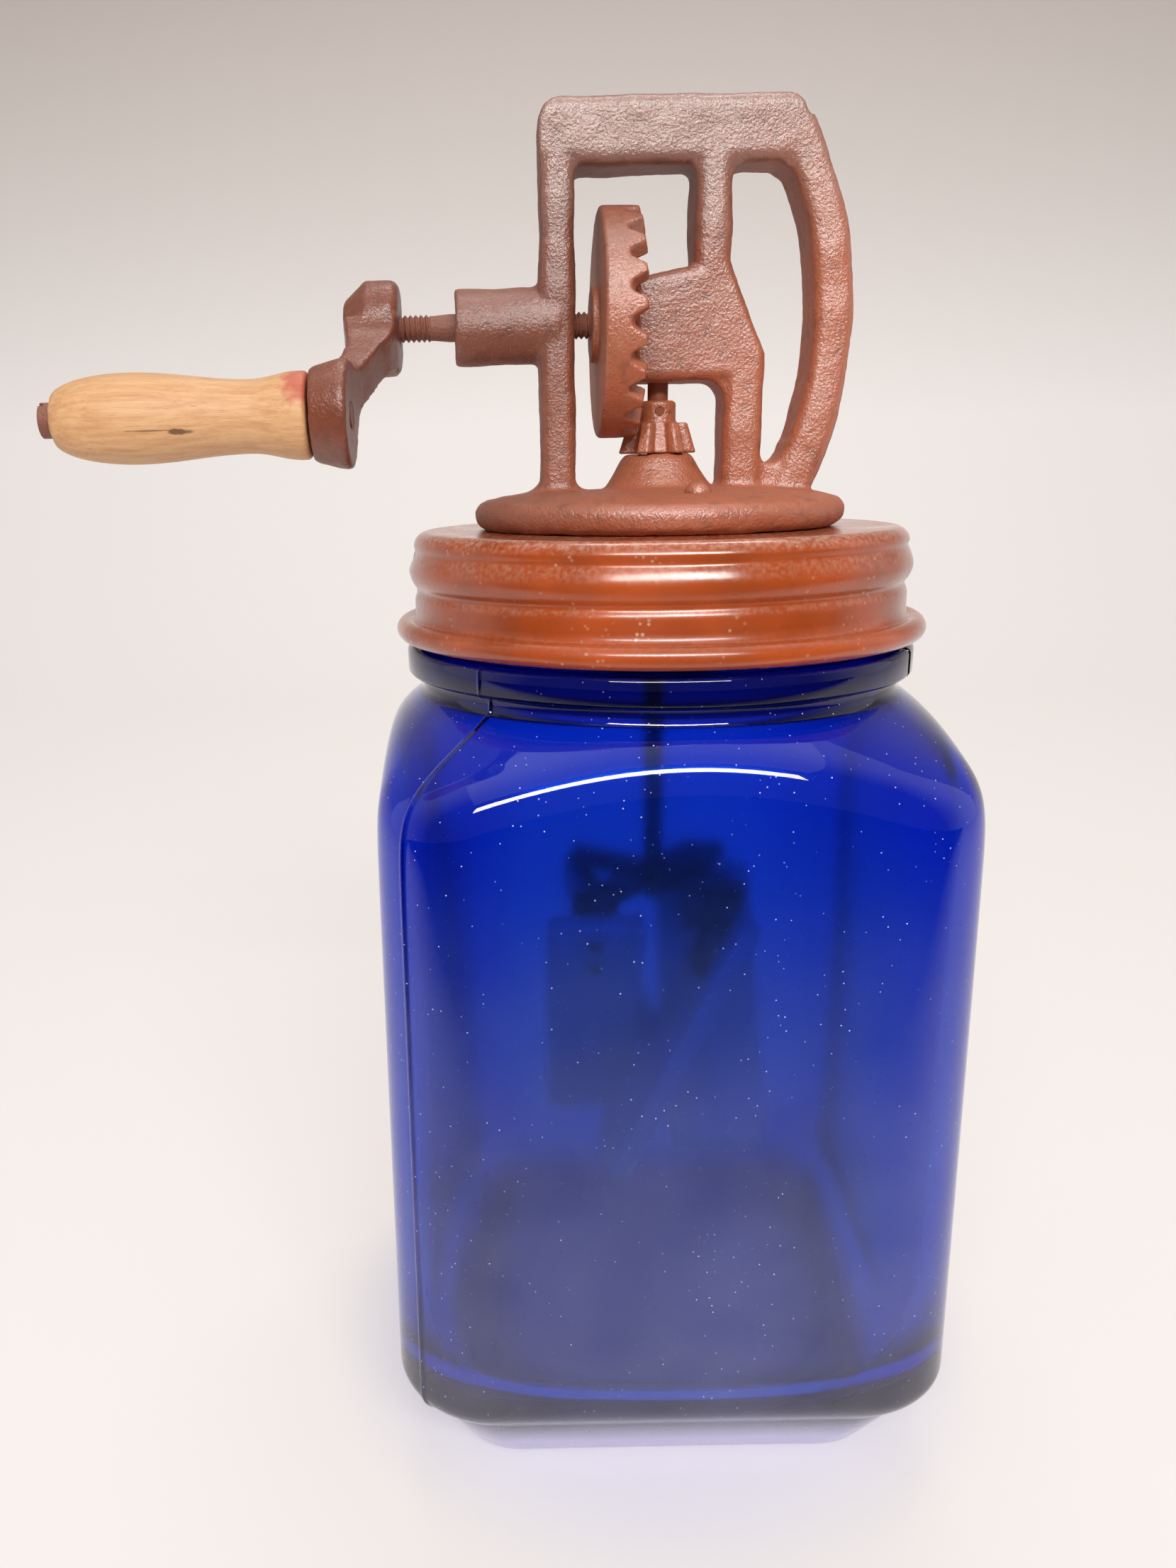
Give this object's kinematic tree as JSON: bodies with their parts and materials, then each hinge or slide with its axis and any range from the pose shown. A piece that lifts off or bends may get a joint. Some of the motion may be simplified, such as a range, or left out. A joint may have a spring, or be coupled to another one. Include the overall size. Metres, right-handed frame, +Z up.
{
  "type": "glass jar butter churn",
  "caption": "Square blue glass jar churn: screw lid with a cast gear frame, a hand crank with a wooden grip, and bevel gears that spin a wooden dasher inside the jar.",
  "frame": {"origin": "centre of the jar's flat foot, on the axis of the lid and the dasher", "axes": "+Z up, -X towards the crank handle, -Y towards the side that the picture shows"},
  "size_m": [0.2068, 0.138, 0.3272],
  "materials": {
    "blue_glass": "deep cobalt pressed glass, glossy with fine dust",
    "seal_rubber": "matt",
    "lid_paint": "glossy rust-orange paint on sheet metal, dusty",
    "iron_paint": "red-brown paint over a rough sand casting",
    "dark_steel": "dull, darkened with age",
    "grip_wood": "turned pale hardwood, worn smooth",
    "paddle_wood": "bare, weathered"
  },
  "bodies": {
    "jar": {"glass_jar": "blue_glass"},
    "seal": {"lid_gasket": "seal_rubber"},
    "lid": {"screw_lid": "lid_paint", "gear_frame": "iron_paint", "frame_screws": "iron_paint", "frame_nuts": "dark_steel"},
    "crank": {"crankshaft": "iron_paint", "drive_gear": "iron_paint", "crank_arm": "iron_paint", "grip_screw": "iron_paint"},
    "grip": {"crank_grip": "grip_wood"},
    "dasher": {"pinion": "iron_paint", "pinion_pin": "dark_steel", "dasher_shaft": "dark_steel", "dasher_spider": "dark_steel", "spider_nut": "dark_steel", "paddle_1": "paddle_wood", "paddle_2": "paddle_wood", "paddle_3": "paddle_wood", "paddle_4": "paddle_wood", "paddle_rivets": "dark_steel"}
  },
  "joints": [
    {"name": "lid_lift", "type": "slide", "parent": "jar", "child": "seal", "axis": [0, 0, 1], "range_m": [0, 0.2]},
    {"name": "lid_turn", "type": "hinge", "parent": "seal", "child": "lid", "pos_m": [0, 0, 0.2296], "axis": [0, 0, 1], "range_deg": [0, 450]},
    {"name": "crank_turn", "type": "hinge", "parent": "lid", "child": "crank", "pos_m": [0, 0, 0.2786], "axis": [1, 0, 0], "continuous": true},
    {"name": "grip_spin", "type": "hinge", "parent": "crank", "child": "grip", "pos_m": [-0.1076, -0.03813, 0.25746], "axis": [1, 0, 0], "continuous": true},
    {"name": "dasher_spin", "type": "hinge", "parent": "lid", "child": "dasher", "pos_m": [0, 0, 0.2786], "axis": [0, 0, 1], "continuous": true}
  ],
  "couplings": [
    {"joint": "dasher_spin", "follows": "crank_turn", "ratio": -3.5}
  ]
}
